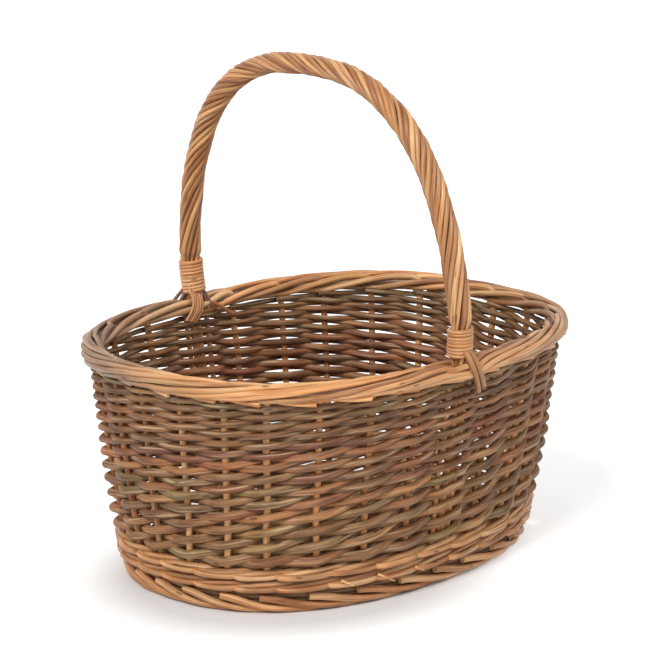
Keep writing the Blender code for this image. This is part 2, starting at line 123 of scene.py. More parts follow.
def onWall(station, height, outward=0.0):
    # places beside the stakes' line, moved outwards square to the oval
    station, height, outward = np.broadcast_arrays(np.asarray(station, float), height, outward)
    angle = angleAt(station)
    step = math.radians(wall["turnStep"])
    square = np.interp(height, (0, wall["roundedBelow"]), (wall["footSquareness"], wall["squareness"]))
    before, here, after = (ovalAt(angle + turn, *halvesAt(height), square) for turn in (-step, 0, step))
    along = after - before
    along /= np.linalg.norm(along, axis=-1, keepdims=True)
    away = np.stack([along[..., 1], -along[..., 0]], axis=-1)
    return np.concatenate([here + away * outward[..., None], height[..., None]], axis=-1)


def toHandle(station):  # signed stations to the nearest of the two handle stations
    gaps = [(station - at + wall["stations"] / 2) % wall["stations"] - wall["stations"] / 2
            for at in wall["handleAt"]]
    return np.where(np.abs(gaps[0]) < np.abs(gaps[1]), gaps[0], gaps[1])


routes = {"stride": 40}  # mm that count as one station where a route has both


def smoothRoute(route, count):
    # a curve through given points: stations, then millimetres
    route = np.asarray(route, float)
    lengths = alongOf(route * (routes["stride"], 1, 1))
    slopes = np.gradient(route, lengths, axis=0)
    ask = np.linspace(0, lengths[-1], count)
    index = np.clip(np.searchsorted(lengths, ask, side="right") - 1, 0, len(route) - 2)
    gap = (lengths[index + 1] - lengths[index])[:, None]
    share = (ask - lengths[index])[:, None] / gap
    return curveOn(route[index], route[index + 1], gap * slopes[index], gap * slopes[index + 1], share)


# willow rods

wander = {"waves": 3, "quicker": 0.8, "level": 1.6}
rodMesh = {
    "chamfer": 0.3,  # share of the radius that a cut end is bevelled by
    "apart": 1.7,  # metres between the rods in the grain's space, so that no two look alike
    "smoothBelow": 50,  # degrees
    "least": 0.01 * mm,
}


def drift(seed, along, reach):
    # a slow random wander along a rod, about plus or minus one
    dice = np.random.default_rng(seed)
    total = np.zeros(len(along))
    for wave in range(wander["waves"]):
        pace = along / reach * (1 + wave * wander["quicker"]) * math.tau
        total += np.sin(pace + dice.uniform(0, math.tau)) / (1 + wave)
    return total / wander["level"]


def drifts(rows, number, along):  # wanders added up, each with its seed, its reach and how far it goes
    return sum(amount * drift(seed + number, along, reach) for seed, reach, amount in rows)


class Rod:  # one willow rod: where it runs, how thick it is and its colour at each place
    def __init__(self, places, radii, colour, seed):
        self.places = np.asarray(places, float)
        self.radii = np.broadcast_to(np.asarray(radii, float), len(self.places)).copy()
        self.colour = np.broadcast_to(np.asarray(colour, float), (len(self.places), 3))
        self.seed = seed


def markRods(mesh, rods, sides, ringed):
    # the grain's space, the rods' colours and the cut ends, as attributes of the mesh
    places = np.empty(len(mesh.vertices) * 3)
    mesh.vertices.foreach_get("co", places)
    places = places.reshape(-1, 3)
    space = np.zeros((len(places), 3))
    colour = np.zeros((len(places), 4))
    colour[:, 3] = 1
    cut = np.zeros(len(places))
    first = 0
    ends = []
    for rod in rods:
        rings = len(rod.places)
        turn = np.arange(sides) / sides * math.tau
        block = slice(first, first + rings * sides)
        space[block, 0] = (rod.radii[:, None] * np.cos(turn)).ravel()
        space[block, 1] = (rod.radii[:, None] * np.sin(turn)).ravel()
        space[block, 2] = np.repeat(alongOf(rod.places) + rod.seed * rodMesh["apart"], sides)
        colour[block, :3] = np.repeat(rod.colour, sides, axis=0)
        ends.append((rod.places[0], first, rod.colour[0]))
        ends.append((rod.places[-1], first + (rings - 1) * sides, rod.colour[-1]))
        first += rings * sides
    centres = np.array([end[0] for end in ends])
    for index in range(ringed, len(places)):
        nearest = int(np.linalg.norm(centres - places[index], axis=1).argmin())
        middle, start, tone = ends[nearest]
        rim = start + int(np.linalg.norm(places[start:start + sides] - places[index], axis=1).argmin())
        reach = max(np.linalg.norm(places[rim] - middle), rodMesh["least"])
        share = np.linalg.norm(places[index] - middle) / reach
        space[index] = space[rim] * (share, share, 1)
        colour[index, :3] = tone
        cut[index] = 1
    mesh.attributes.new("rodSpace", "FLOAT_VECTOR", "POINT").data.foreach_set("vector", space.ravel())
    mesh.attributes.new("rodColour", "FLOAT_COLOR", "POINT").data.foreach_set("color", colour.ravel())
    mesh.attributes.new("cutEnd", "FLOAT", "POINT").data.foreach_set("value", cut)


def bendRods(name, rods, fineness=3):
    # paths with a round bevel, made a mesh, their ends filled and chamfered like cut willow
    bpy.ops.object.select_all(action="DESELECT")
    bpy.ops.curve.primitive_nurbs_path_add(location=(0, 0, 0))
    piece = bpy.context.object
    piece.name = piece.data.name = name
    path = piece.data
    path.splines.clear()
    path.dimensions = "3D"
    path.bevel_depth = mm
    path.bevel_resolution = fineness
    for rod in rods:
        spline = path.splines.new("POLY")
        spline.points.add(len(rod.places) - 1)
        spline.points.foreach_set("co", np.c_[rod.places, np.ones(len(rod.places))].ravel())
        spline.points.foreach_set("radius", rod.radii / mm)
    justThis(piece)
    bpy.ops.object.convert(target="MESH")
    sides = 2 * (fineness + 2)
    ringed = len(piece.data.vertices)
    bpy.ops.object.mode_set(mode="EDIT")
    bpy.ops.mesh.select_all(action="SELECT")
    bpy.ops.mesh.fill_holes(sides=0)
    bpy.ops.mesh.select_mode(type="FACE")
    bpy.ops.mesh.select_all(action="DESELECT")
    bpy.ops.mesh.select_face_by_sides(number=sides, type="EQUAL")
    thin = min(float(rod.radii[[0, -1]].min()) for rod in rods)
    bpy.ops.mesh.inset(thickness=thin * rodMesh["chamfer"], use_individual=True)
    bpy.ops.object.mode_set(mode="OBJECT")
    markRods(piece.data, rods, sides, ringed)
    bpy.ops.object.mode_set(mode="EDIT")
    bpy.ops.mesh.select_all(action="SELECT")
    bpy.ops.mesh.normals_make_consistent(inside=False)
    bpy.ops.object.mode_set(mode="OBJECT")
    bpy.ops.object.shade_smooth_by_angle(angle=math.radians(rodMesh["smoothBelow"]))
    return piece


def finish(piece, material, slot, nodes):
    piece.data.materials.clear()
    piece.data.materials.append(material)
    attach(piece, "root")
    if nodes:
        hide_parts(*nodes)


# shader maths

class Value:  # a socket that adds its own Math nodes
    def __init__(self, tree, socket):
        self.tree = tree
        self.socket = socket

    def maths(self, operation, other):
        return node(self.tree, "Math", {"operation": operation}, 0, (self, other))

    def __add__(self, other):
        return self.maths("ADD", other)

    def __sub__(self, other):
        return self.maths("SUBTRACT", other)

    def __mul__(self, other):
        return self.maths("MULTIPLY", other)

    def __truediv__(self, other):
        return self.maths("DIVIDE", other)


def plug(tree, value, socket):
    if isinstance(value, Value):
        tree.links.new(value.socket, socket)
    elif socket.type == "RGBA":
        socket.default_value = (*value, 1)
    else:
        socket.default_value = value


def node(tree, kind, settings=None, outlet=0, inOrder=(), **named):
    # any node: its settings first, then the values or links of its sockets, in order or by name
    made = tree.nodes.new("ShaderNode" + kind)
    for key, value in (settings or {}).items():
        setattr(made, key, value)
    for socket, value in zip(made.inputs, inOrder):
        plug(tree, value, socket)
    for key, value in named.items():
        found = [socket for socket in made.inputs
                 if socket.enabled and socket.name.replace(" ", "").lower() == key.lower()]
        plug(tree, value, found[0])
    return Value(tree, made.outputs[outlet])


def newMaterial(name):
    material = bpy.data.materials.new(name)
    material.use_nodes = True
    tree = material.node_tree
    return material, tree, tree.nodes["Principled BSDF"]


def mixColour(tree, factor, one, other, blend="MIX"):
    return node(tree, "Mix", {"data_type": "RGBA", "blend_type": blend}, 2, factor=factor, a=one, b=other)


def remap(tree, value, low, high, toLow=0.0, toHigh=1.0):
    return node(tree, "MapRange", value=value, fromMin=low, fromMax=high, toMin=toLow, toMax=toHigh)


def stretched(tree, across, along):  # the rod's own space, drawn out along its length
    space = node(tree, "Attribute", {"attribute_name": "rodSpace"}, "Vector")
    return node(tree, "VectorMath", {"operation": "MULTIPLY"}, 0, (space, (across, across, along)))


def noiseOn(tree, across, along, detail):
    return node(tree, "TexNoise", vector=stretched(tree, across, along), scale=1.0, detail=detail)


def seenRays(tree):  # 1 where the camera looks, straight, in a gloss or through glass
    camera, gloss, glass = (node(tree, "LightPath", outlet="Is %s Ray" % kind)
                            for kind in ("Camera", "Glossy", "Transmission"))
    return (camera + gloss + glass).maths("MINIMUM", 1.0)


# willow skins

barkLooks = {  # unpeeled: long fibres, pale worn lines, grey bloom and bud scars
    # noises: waves per metre across and along the rod, and their detail
    "noises": {"fibre": (560, 36, 5.0), "line": (350, 20, 3.0),
               "patch": (120, 34, 3.0), "bloom": (90, 11, 3.0)},
    # layers: the noise, where it starts and is full, its share, its colour and how that goes on
    "layers": (("bloom", 0.52, 0.7, 0.35, fromScreen(140, 120, 96), "MIX"),
               ("patch", 0.46, 0.66, 0.55, (0.62, 0.50, 0.42), "MULTIPLY"),
               ("line", 0.55, 0.68, 0.55, fromScreen(206, 180, 142), "MIX"),
               ("fibre", 0.48, 0.62, 0.85, (0.40, 0.34, 0.30), "MULTIPLY")),
    "spotWaves": (110, 34), "spotEdge": (0.17, 0.1), "spotShare": 0.8, "spot": fromScreen(52, 32, 22),
    "cut": fromScreen(190, 150, 104),
    "smoother": 0.1, "rougher": 0.15, "roughEdge": (0.35, 0.65),  # by patches
    "relief": {"line": 0.6, "patch": 0.5, "fibre": -0.4}, "spotRelief": -0.4,
    "bump": 0.8, "bumpReach": 0.6 * mm,
}
buffLooks = {  # boiled and peeled: satin, orange-buff, with fine fibres and small knots
    "noises": {"fibre": (540, 20, 4.0), "line": (330, 12, 3.0), "patch": (150, 24, 3.0)},
    "layers": (("patch", 0.46, 0.68, 0.6, (0.66, 0.42, 0.26), "MULTIPLY"),
               ("line", 0.55, 0.7, 0.35, fromScreen(240, 204, 158), "MIX"),
               ("fibre", 0.5, 0.66, 0.75, (0.52, 0.34, 0.21), "MULTIPLY")),
    "spotWaves": (100, 30), "spotEdge": (0.14, 0.07), "spotShare": 0.75, "spot": fromScreen(84, 46, 24),
    "cut": fromScreen(222, 182, 132),
    "smoother": 0.07, "rougher": 0.1, "roughEdge": (0.35, 0.65),
    "relief": {"line": 0.5, "patch": 0.4, "fibre": -0.4}, "spotRelief": -0.4,
    "bump": 0.5, "bumpReach": 0.4 * mm,
}


def willowSkin(name, looks, roughness, depth):
    material, tree, shader = newMaterial(name)
    noises = {mark: noiseOn(tree, *waves) for mark, waves in looks["noises"].items()}
    colour = node(tree, "Attribute", {"attribute_name": "rodColour"}, "Color")
    for mark, low, high, share, tone, blend in looks["layers"]:
        factor = remap(tree, noises[mark], low, high, 0, share * depth)
        colour = mixColour(tree, factor, colour, tone, blend)
    spots = node(tree, "TexVoronoi", vector=stretched(tree, *looks["spotWaves"]), scale=1.0)
    spots = remap(tree, spots, *looks["spotEdge"])
    colour = mixColour(tree, spots * looks["spotShare"], colour, looks["spot"])
    cut = node(tree, "Attribute", {"attribute_name": "cutEnd"}, "Fac")
    plug(tree, mixColour(tree, cut, colour, looks["cut"]), shader.inputs["Base Color"])
    roughs = (roughness - looks["smoother"], roughness + looks["rougher"])
    rough = remap(tree, noises["patch"], *looks["roughEdge"], *roughs)
    plug(tree, rough, shader.inputs["Roughness"])
    height = spots * looks["spotRelief"]
    for mark, relief in looks["relief"].items():
        height = height + noises[mark] * relief
    bump = node(tree, "Bump", height=height, strength=looks["bump"], distance=looks["bumpReach"])
    plug(tree, bump, shader.inputs["Normal"])
    return material


barkMaterial = willowSkin("barkSkin", barkLooks, 0.6, 1.0)
buffMaterial = willowSkin("buffSkin", buffLooks, 0.42, 1.0)
handleMaterial = willowSkin("handleSkin", buffLooks, 0.36, 1.1)
print("materials made")


# colours of single rods

tones = {
    "bark": ((162, 120, 76), (150, 110, 70), (170, 126, 80), (152, 104, 66), (140, 96, 62), (136, 114, 72),
             (140, 112, 78), (164, 114, 72), (134, 94, 62), (154, 114, 76), (174, 134, 88)),
    "red": ((144, 80, 58), (132, 74, 54), (154, 94, 62), (142, 96, 66)),
    "tip": ((130, 104, 68), (142, 108, 70), (156, 110, 70), (124, 96, 66)),
    "buff": ((214, 160, 104), (204, 144, 90), (188, 128, 78), (222, 172, 120), (176, 116, 70),
             (208, 150, 96)),
}
tones = {kind: [fromScreen(*tone) for tone in shades] for kind, shades in tones.items()}
barkAlong = {
    "places": (0, 0.3, 0.52, 0.75, 1), "red": 0.7, "tip": 0.5,
    "lights": ((50, 0.23, 0.2),), "apart": (0.78, 1.14), "tint": (1.0, 0.935, 0.86),
}
buffAlong = {"lights": ((90, 0.5, 0.07),)}


def barkColours(seed, share):
    # brown at the butt, often redder half way up, greyer green near the tip
    dice = np.random.default_rng(seed)
    butt, low = (tones["bark"][pick] for pick in dice.choice(len(tones["bark"]), 2))
    middle = between((low, tones["red"][dice.integers(len(tones["red"]))]), barkAlong["red"])
    tip = tones["tip"][dice.integers(len(tones["tip"]))]
    stops = np.array([butt, low, middle, between((middle, tip), barkAlong["tip"]), tip])
    colour = np.stack([np.interp(share, barkAlong["places"], stops[:, band]) for band in range(3)], axis=1)
    light = (1 + drifts(barkAlong["lights"], seed, share)) * dice.uniform(*barkAlong["apart"])
    return colour * light[:, None] * barkAlong["tint"]


def buffColours(seed, share, low, high):
    dice = np.random.default_rng(seed)
    one, other = (tones["buff"][pick] for pick in dice.choice(len(tones["buff"]), 2))
    light = (1 + drifts(buffAlong["lights"], seed, share)) * dice.uniform(low, high)
    return between((one, other), share[:, None]) * light[:, None]


# siding: one long unpeeled rod from each stake, in front of one and behind the next

siding = {
    "low": 40.4 * mm, "high": 190.6 * mm,
    "strokes": 28, "before": 0.22, "after": 0.12,  # and how far the rods run past them
    # wide at the butts, close at the tips
    "rises": (8.0 * mm, 5.7 * mm, 3.7 * mm), "risePlaces": (0, 0.38, 1),
    "packed": (0.35, 0.85),  # shares of the first rises: the butts are pressed down on the wale
    "radii": (3.9 * mm, 3.25 * mm, 2.3 * mm), "radiusPlaces": (0, 0.45, 1), "apart": (0.93, 1.07),
    "finePerStation": 16,
    "press": 0.8 * mm,  # the rods press a little into the stakes
    "flat": 0.29, "pointed": 0.975,  # the rods run flat past the group of uprights at the handle
    "heights": ((400, 6, 0.6 * mm), (430, 1.7, 0.35 * mm)),
    "swells": ((500, 2.3, 0.05), (530, 0.8, 0.04)),
    "outs": ((600, 4, 0.4 * mm),),
    "seed": 300, "colours": 700,
}


def strokeHeights():
    share = np.arange(siding["strokes"]) / (siding["strokes"] - 1)
    rises = np.interp(share, siding["risePlaces"], siding["rises"])
    rises[:len(siding["packed"])] *= siding["packed"]
    low = siding["low"] + siding["radii"][0]
    high = siding["high"] - siding["radii"][-1]
    return low + np.concatenate(([0], np.cumsum(rises * (high - low) / rises.sum())))


strokeLevels = strokeHeights()


def weave(station, start):
    # -1 inside, +1 outside: inside at its first stake, then by turns, with a long flat past the handle
    near = toHandle(station)
    eased = np.sign(near) * 0.5 * np.clip((np.abs(near) - siding["flat"]) / (0.5 - siding["flat"]), 0, 1)
    phase = np.where(np.abs(near) < 0.5, np.round(station) + eased, station) - start
    # straight between the stakes, rounded where it turns on them
    return -np.arcsin(siding["pointed"] * np.cos(math.pi * phase)) / math.asin(siding["pointed"])


def sidingRod(number):
    dice = np.random.default_rng(siding["seed"] + number)
    count = siding["strokes"] * siding["finePerStation"]
    past = np.linspace(-siding["before"], siding["strokes"] + siding["after"], count)
    height = np.interp(past, np.arange(siding["strokes"] + 1), strokeLevels)
    height += drifts(siding["heights"], number, past)
    radius = np.interp(past / siding["strokes"], siding["radiusPlaces"], siding["radii"])
    radius *= dice.uniform(*siding["apart"]) * (1 + drifts(siding["swells"], number, past))
    outward = weave(number + past, number) * (wall["stakeRadius"] + radius - siding["press"])
    outward += drifts(siding["outs"], number, past)
    colour = barkColours(siding["colours"] + number, np.linspace(0, 1, count))
    return Rod(onWall(number + past, height, outward), radius, colour, number)


sidingNodes = ["siding_course_%02d" % (course + 1) for course in range(10)]
for number in range(wall["stations"]):
    piece = bendRods("sidingRod%02d" % (number + 1), [sidingRod(number)])
    finish(piece, barkMaterial, "bark_green" if number % 2 else "bark_red", sidingNodes)
print("siding woven")


# upsett: two rounds of three-rod wale, in front of two and behind one

upsett = {
    "low": 18.8 * mm, "row": 5.5 * mm, "radius": 2.55 * mm, "rounds": 2, "rods": 3, "finePerStation": 20,
    # stations past the stake that the rod lies behind, and how far out it stands: out sharply, slowly back
    "past": (0, 0.14, 0.24, 0.34, 1.1, 1.32, 2.1, 2.45, 2.8, 3),
    "swing": (-0.8, -0.2, 1.2, 1.42, 1.15, 0.85, 0.7, 0.25, -0.7, -0.8),
    "climb": 0.5,  # of a row, up and down along a stroke
    "clear": 0.1 * mm,
    "heights": ((45, 3.3, 0.5 * mm),),
    "swells": ((40, 7.5, 0.1), (55, 1.3, 0.06)),
    "tones": (0.66, 0.9), "lights": ((70, 0.07, 0.16),),
    "plain": 0.9, "bright": 0.35, "brightAt": 0.34, "brightReach": 0.16,  # painted highlight, strongest where a stroke comes out
    "colours": 60, "grain": 40,
}


def waleRod(turn, rod):
    number = turn * upsett["rods"] + rod
    station = np.linspace(0, wall["stations"], wall["stations"] * upsett["finePerStation"] + 1)
    past = (station - rod) % upsett["rods"]
    climb = upsett["climb"] * np.sin(past * math.tau / upsett["rods"])
    height = upsett["low"] + upsett["row"] * (2 * turn + 1 - climb)
    height += drifts(upsett["heights"], number, station)
    radius = upsett["radius"] * (1 + drifts(upsett["swells"], number, station))
    swing = np.interp(past, upsett["past"], upsett["swing"])
    outward = swing * (wall["stakeRadius"] + radius + upsett["clear"])
    share = np.linspace(0, 1, len(station))
    # painted highlight: the rod's colour is made lighter where each stroke stands out
    bright = np.exp(-((past - upsett["brightAt"]) / upsett["brightReach"]) ** 2)
    light = (1 + drifts(upsett["lights"], number, share)) * (upsett["plain"] + upsett["bright"] * bright)
    colour = buffColours(upsett["colours"] + number, share, *upsett["tones"]) * light[:, None]
    return Rod(onWall(station, height, outward), radius, colour, upsett["grain"] + number)


waleNodes = ["upsett_wale_%d" % (row + 1) for row in range(3)]
for turn in range(upsett["rounds"]):
    for rod in range(upsett["rods"]):
        piece = bendRods("waleRod%d" % (turn * upsett["rods"] + rod + 1), [waleRod(turn, rod)])
        finish(piece, buffMaterial, "buff_wale", waleNodes)
print("upsett woven")


# base: thin brown rods over and under the base sticks, in rings that widen to the foot

base = {
    "rings": 35, "pieces": 3, "middle": 18.3 * mm, "swing": 4.7 * mm, "radius": 1.85 * mm, "places": 240,
    "longHalf": (90 * mm, 181 * mm), "wideHalf": (11.5 * mm, 123 * mm),
    "crossSticks": (-80 * mm, -40 * mm, 0, 40 * mm, 80 * mm),
    "longSticks": (-1, 0, 1), "apart": (6.5 * mm, 36 * mm),  # by the middle and at the ends
    "shareUsed": 0.7, "tone": 0.62, "colours": 1300, "grain": 210,
}


def stickAngles(longHalf, wideHalf, share):
    # where a ring meets the sticks, as angles round it
    power = wall["squareness"] / 2
    angles = []
    for x in base["crossSticks"]:
        turn = math.acos(math.copysign(abs(x / longHalf) ** power, x))
        angles += [turn, math.tau - turn]
    for row in base["longSticks"]:
        y = row * between(base["apart"], share)
        turn = math.asin(math.copysign(abs(y / wideHalf) ** power, y))
        angles += [turn % math.tau, math.pi - turn]
    return np.sort(angles)


def ringRod(number):
    share = number / (base["rings"] - 1)
    longHalf = between(base["longHalf"], share)
    wideHalf = between(base["wideHalf"], share)
    sticks = stickAngles(longHalf, wideHalf, share)
    angle = np.linspace(sticks[0], sticks[0] + math.tau, base["places"] + 1)
    phase = np.interp(angle, np.append(sticks, sticks[0] + math.tau), np.arange(len(sticks) + 1))
    height = base["middle"] + base["swing"] * np.cos(math.pi * (phase + number))
    colour = barkColours(base["colours"] + number, np.linspace(0, base["shareUsed"], len(angle)))
    places = np.c_[ovalAt(angle, longHalf, wideHalf), height]
    return Rod(places, base["radius"], colour * base["tone"], base["grain"] + number)


ringsEach = -(-base["rings"] // base["pieces"])
for group in range(base["pieces"]):
    numbers = range(group * ringsEach, min((group + 1) * ringsEach, base["rings"]))
    piece = bendRods("baseWeave%d" % (group + 1), [ringRod(number) for number in numbers], 1)
    finish(piece, barkMaterial, "base_rod", ["base_weave"])
print("base woven")


# foot: a rod beside each stake, bent to the right at a knuckle and laid down along the floor

foot = {
    "radius": 3.15 * mm, "groups": 9, "places": 40,
    # stations past the stake, outwards and up in mm: a blunt butt under the upsett, then down to the floor
    "route": ((-0.14, 3.6, 14.0), (0.0, 4.2, 13.6), (0.3, 4.6, 11.4), (0.65, 4.6, 8.0), (1.0, 4.2, 5.4),
              (1.4, 3.2, 3.7), (1.8, 1.6, 3.0), (2.1, 0.2, 2.9)),
    "stretch": (0.95, 1.05), "apart": (0.93, 1.05), "taper": (1.05, 0.82), "tones": (0.7, 1.02),
    "seed": 800, "colours": 850, "grain": 80,
}
rounds = {  # the rods' own other halves, woven on behind the first layer and painted dark as the shade there: outwards and up, in mm
    "places": ((-4.6, 3.0), (-3.4, 8.6), (-2.6, 13.6)), "radius": 2.9 * mm, "finePerStation": 8,
    "swells": ((880, 2.5, 0.08),), "heights": ((885, 3.0, 0.5 * mm),), "tones": (0.34, 0.42),
    "colours": 890, "grain": 60,
}
cutSticks = {  # thin cut ends beside the wale: station, mm past it, mm above the floor, at both ends
    "ends": (((17.5, -2.1, 27.1), (17.5, 8.1, 21.2)), ((18, 10, 26.9), (18.5, 4.8, 17.4)),
             ((19, 6.3, 25), (19.5, -5.4, 19.8))),
    "radius": 1.3 * mm, "thinned": 0.5, "outward": 10 * mm, "places": 6,
    "tones": (1.15, 1.25), "colours": 895,
}


def footRod(number):
    dice = np.random.default_rng(foot["seed"] + number)
    route = smoothRoute(foot["route"], foot["places"])
    station = number + route[:, 0] * dice.uniform(*foot["stretch"])
    radius = foot["radius"] * dice.uniform(*foot["apart"]) * np.linspace(*foot["taper"], len(route))
    places = onWall(station, np.maximum(route[:, 2] * mm, radius), route[:, 1] * mm)
    colour = buffColours(foot["colours"] + number, np.linspace(0, 1, len(route)), *foot["tones"])
    return Rod(places, radius, colour, foot["grain"] + number)


def footRound(layer):
    out, up = rounds["places"][layer]
    station = np.linspace(0, wall["stations"], wall["stations"] * rounds["finePerStation"] + 1)
    radius = rounds["radius"] * (1 + drifts(rounds["swells"], layer, station))
    height = np.maximum(up * mm + drifts(rounds["heights"], layer, station), radius)
    # painted shade: these back rods are coloured dark
    colour = buffColours(rounds["colours"] + layer, np.linspace(0, 1, len(station)), *rounds["tones"])
    return Rod(onWall(station, height, out * mm), radius, colour, rounds["grain"] + layer)


def cutStick(number):
    ends = cutSticks["ends"][number]
    station, height = np.array([(at + past * mm / spacing, up * mm) for at, past, up in ends]).T
    share = np.linspace(0, 1, cutSticks["places"])
    places = onWall(between(station, share), between(height, share), cutSticks["outward"])
    radius = cutSticks["radius"] * (1 - cutSticks["thinned"] * share)
    colour = buffColours(cutSticks["colours"] + number, share, *cutSticks["tones"])
    return Rod(places, radius, colour, number)


for group in range(foot["groups"]):
    rods = [footRod(group * 3 + member) for member in range(3)]
    finish(bendRods("footRods%02d" % (group + 1), rods), buffMaterial, "buff_wale", ["foot_border"])
rods = [footRound(layer) for layer in range(len(rounds["places"]))]
finish(bendRods("footRounds", rods, 2), buffMaterial, "buff_wale", ["foot_border"])
rods = [cutStick(number) for number in range(len(cutSticks["ends"]))]
finish(bendRods("footSticks", rods), buffMaterial, "buff_wale", [])
print("foot laid")


# stakes and rolled border

border = {
    "tipRadius": 2.1 * mm, "startRadius": 2.85 * mm, "apart": (0.94, 1.06), "cutTipRadius": 2.0 * mm,
    "outMiddle": 2.1 * mm, "upMiddle": 1.4 * mm, "outHalf": 8.3 * mm, "upHalf": 6.8 * mm,
    # the rods part round the foot of the handle, those outside it pressed down
    "shift": 3.8 * mm, "blend": 2.4 * mm, "reach": 17.0 * mm, "pressed": 0.42,
    "loose": 10.0, "uneven": 0.11, "looseAfter": 0.8,  # degrees, a share, and the stations until they tell
    "outs": ((910, 2.9, 0.5 * mm),), "ups": ((950, 2.5, 0.5 * mm),), "driftsAfter": 0.6,
    "foot": 18.8 * mm, "bend": 2 * mm, "places": (24, 140, 16),  # in the wall, in the border, in a cut tip
    "sways": (((970, 0.09, 0.5 * mm),), ((990, 0.08, 0.5 * mm),)),  # of the stakes, along x and y
    # stations past the stake, degrees round the border from its outer edge over the top, and share
    # of its reach: bent to the right on the inner edge, behind one stake, under and out, then slowly
    # up over the front to the inner edge again, where it ends under a younger rod
    "path": ((0.0, 180, 0.2), (0.03, 130, 0.45), (0.10, 122, 0.76), (0.30, 128, 0.92), (0.7, 147, 1.0),
             (1.1, 172, 1.0), (1.5, 200, 1.0), (1.9, 232, 0.97), (2.25, 262, 0.93), (2.6, 290, 0.97),
             (3.1, 312, 1.0), (3.7, 335, 1.0), (4.4, 362, 1.0), (5.1, 390, 1.0), (5.8, 417, 1.0),
             (6.4, 440, 1.02), (6.8, 456, 1.02), (7.1, 466, 0.92)),
    # the cut tips that show under the outer edge
    "tip": ((0.05, 268, 0.8), (0.35, 280, 1.02), (0.65, 290, 1.22), (0.88, 297, 1.36)),
    "tones": (0.6, 1.14), "tipTones": (0.9, 1.15), "wallTone": 1.3,  # the stakes are painted paler in the wall, painted light where they stand shaded among the siding
    # round the border, by stations: how light the rods are, as painted light and shade that leave them
    # palest in front, and how grey they are
    "stations": (0, 3, 6.3, 8, 10.5, 12, 13.2, 14.5, 16, 18, 20.5, 22, 25, 27),
    "lights": (1.12, 1.42, 1.42, 1.05, 0.84, 0.72, 0.96, 1.2, 1.42, 1.38, 1.2, 1.04, 0.96, 1.12),
    "greyed": (0, 0, 0.05, 0.2, 0.45, 0.45, 0.15, 0, 0, 0, 0, 0.1, 0.2, 0),
    "tint": (0.97, 1.04, 1.1), "grey": (1.12, 0.98, 0.86),
    "seed": 900, "tipSeed": 1090, "colours": 1000, "tipColours": 1050, "grain": 120, "tipGrain": 150,
}
shadeCore = {  # what fills the border between its rods, painted dark as the shade inside the border: outwards and up, in mm
    "places": ((-2.0, 1.0), (2.6, 0.6), (6.0, 1.6)), "radius": 3.6 * mm, "finePerStation": 8,
    "tones": (0.22, 0.26), "colours": 1080, "grain": 110,
}


def borderRoute(route, dice):
    past, turn, share = np.array(route, float).T
    settled = glide(past / border["looseAfter"])
    turn = np.radians(turn + dice.uniform(-1, 1) * border["loose"] * settled)
    share *= 1 + dice.uniform(-1, 1) * border["uneven"] * settled
    return np.stack([past, (border["outMiddle"] + border["outHalf"] * share * np.cos(turn)) / mm,
                     (border["upMiddle"] + border["upHalf"] * share * np.sin(turn)) / mm], axis=1)


def borderPlaces(station, path):
    past = path[:, 0]
    settled = glide(past / border["driftsAfter"])
    across = path[:, 1] * mm + drifts(border["outs"], station, past) * settled
    upward = path[:, 2] * mm + drifts(border["ups"], station, past) * settled
    atHandle = np.exp(-(toHandle(station + past) * spacing / border["reach"]) ** 2)
    side = np.tanh(across / border["blend"])
    upward -= border["pressed"] * atHandle * (0.5 + 0.5 * side) * (upward + border["upHalf"])
    across += border["shift"] * side * atHandle
    places = onWall(station + past, wall["borderMiddle"], across)
    places[:, 2] += upward
    return places


def borderTone(colour, station):  # the rods are greyer at the left end, and painted light and shade make them palest in front and darker at the left end
    light, greyed = (np.interp(station % wall["stations"], border["stations"], border[row])[:, None]
                     for row in ("lights", "greyed"))
    grey = colour.mean(axis=1, keepdims=True) * border["grey"]
    return between((colour, grey), greyed) * light * border["tint"]


def stakeRod(station):
    dice = np.random.default_rng(border["seed"] + station)
    upright = np.linspace(border["foot"], wall["borderMiddle"] - border["bend"], border["places"][0])
    path = smoothRoute(borderRoute(border["path"], dice), border["places"][1])
    below = onWall(np.full(len(upright), float(station)), upright)
    for axis, sway in enumerate(border["sways"]):
        below[:, axis] += drifts(sway, station, upright)
    taper = between((border["startRadius"], border["tipRadius"]), path[:, 0] / path[-1, 0])
    radius = np.append(np.full(len(upright), wall["stakeRadius"]), taper) * dice.uniform(*border["apart"])
    colour = buffColours(border["colours"] + station, np.linspace(0, 1, len(radius)), *border["tones"])
    # painted light: the stakes are lightened where they stand in the wall
    colour[:len(upright)] *= border["wallTone"]
    # painted light and shade round the border, by station
    colour[len(upright):] = borderTone(colour[len(upright):], station + path[:, 0])
    places = np.concatenate([below, borderPlaces(station, path)])
    return Rod(places, radius, colour, border["grain"] + station)


def tipRod(station):
    dice = np.random.default_rng(border["tipSeed"] + station)
    path = smoothRoute(borderRoute(border["tip"], dice), border["places"][2])
    colour = buffColours(border["tipColours"] + station, np.linspace(0, 1, len(path)), *border["tipTones"])
    colour = borderTone(colour, station + path[:, 0])
    return Rod(borderPlaces(station, path), border["cutTipRadius"], colour, border["tipGrain"] + station)


def shadeCoreRod(number):
    out, up = shadeCore["places"][number]
    station = np.linspace(0, wall["stations"], wall["stations"] * shadeCore["finePerStation"] + 1)
    places = onWall(station, wall["borderMiddle"], out * mm) + (0, 0, up * mm)
    colour = buffColours(shadeCore["colours"] + number, np.linspace(0, 1, len(station)), *shadeCore["tones"])
    return Rod(places, shadeCore["radius"], colour, shadeCore["grain"] + number)


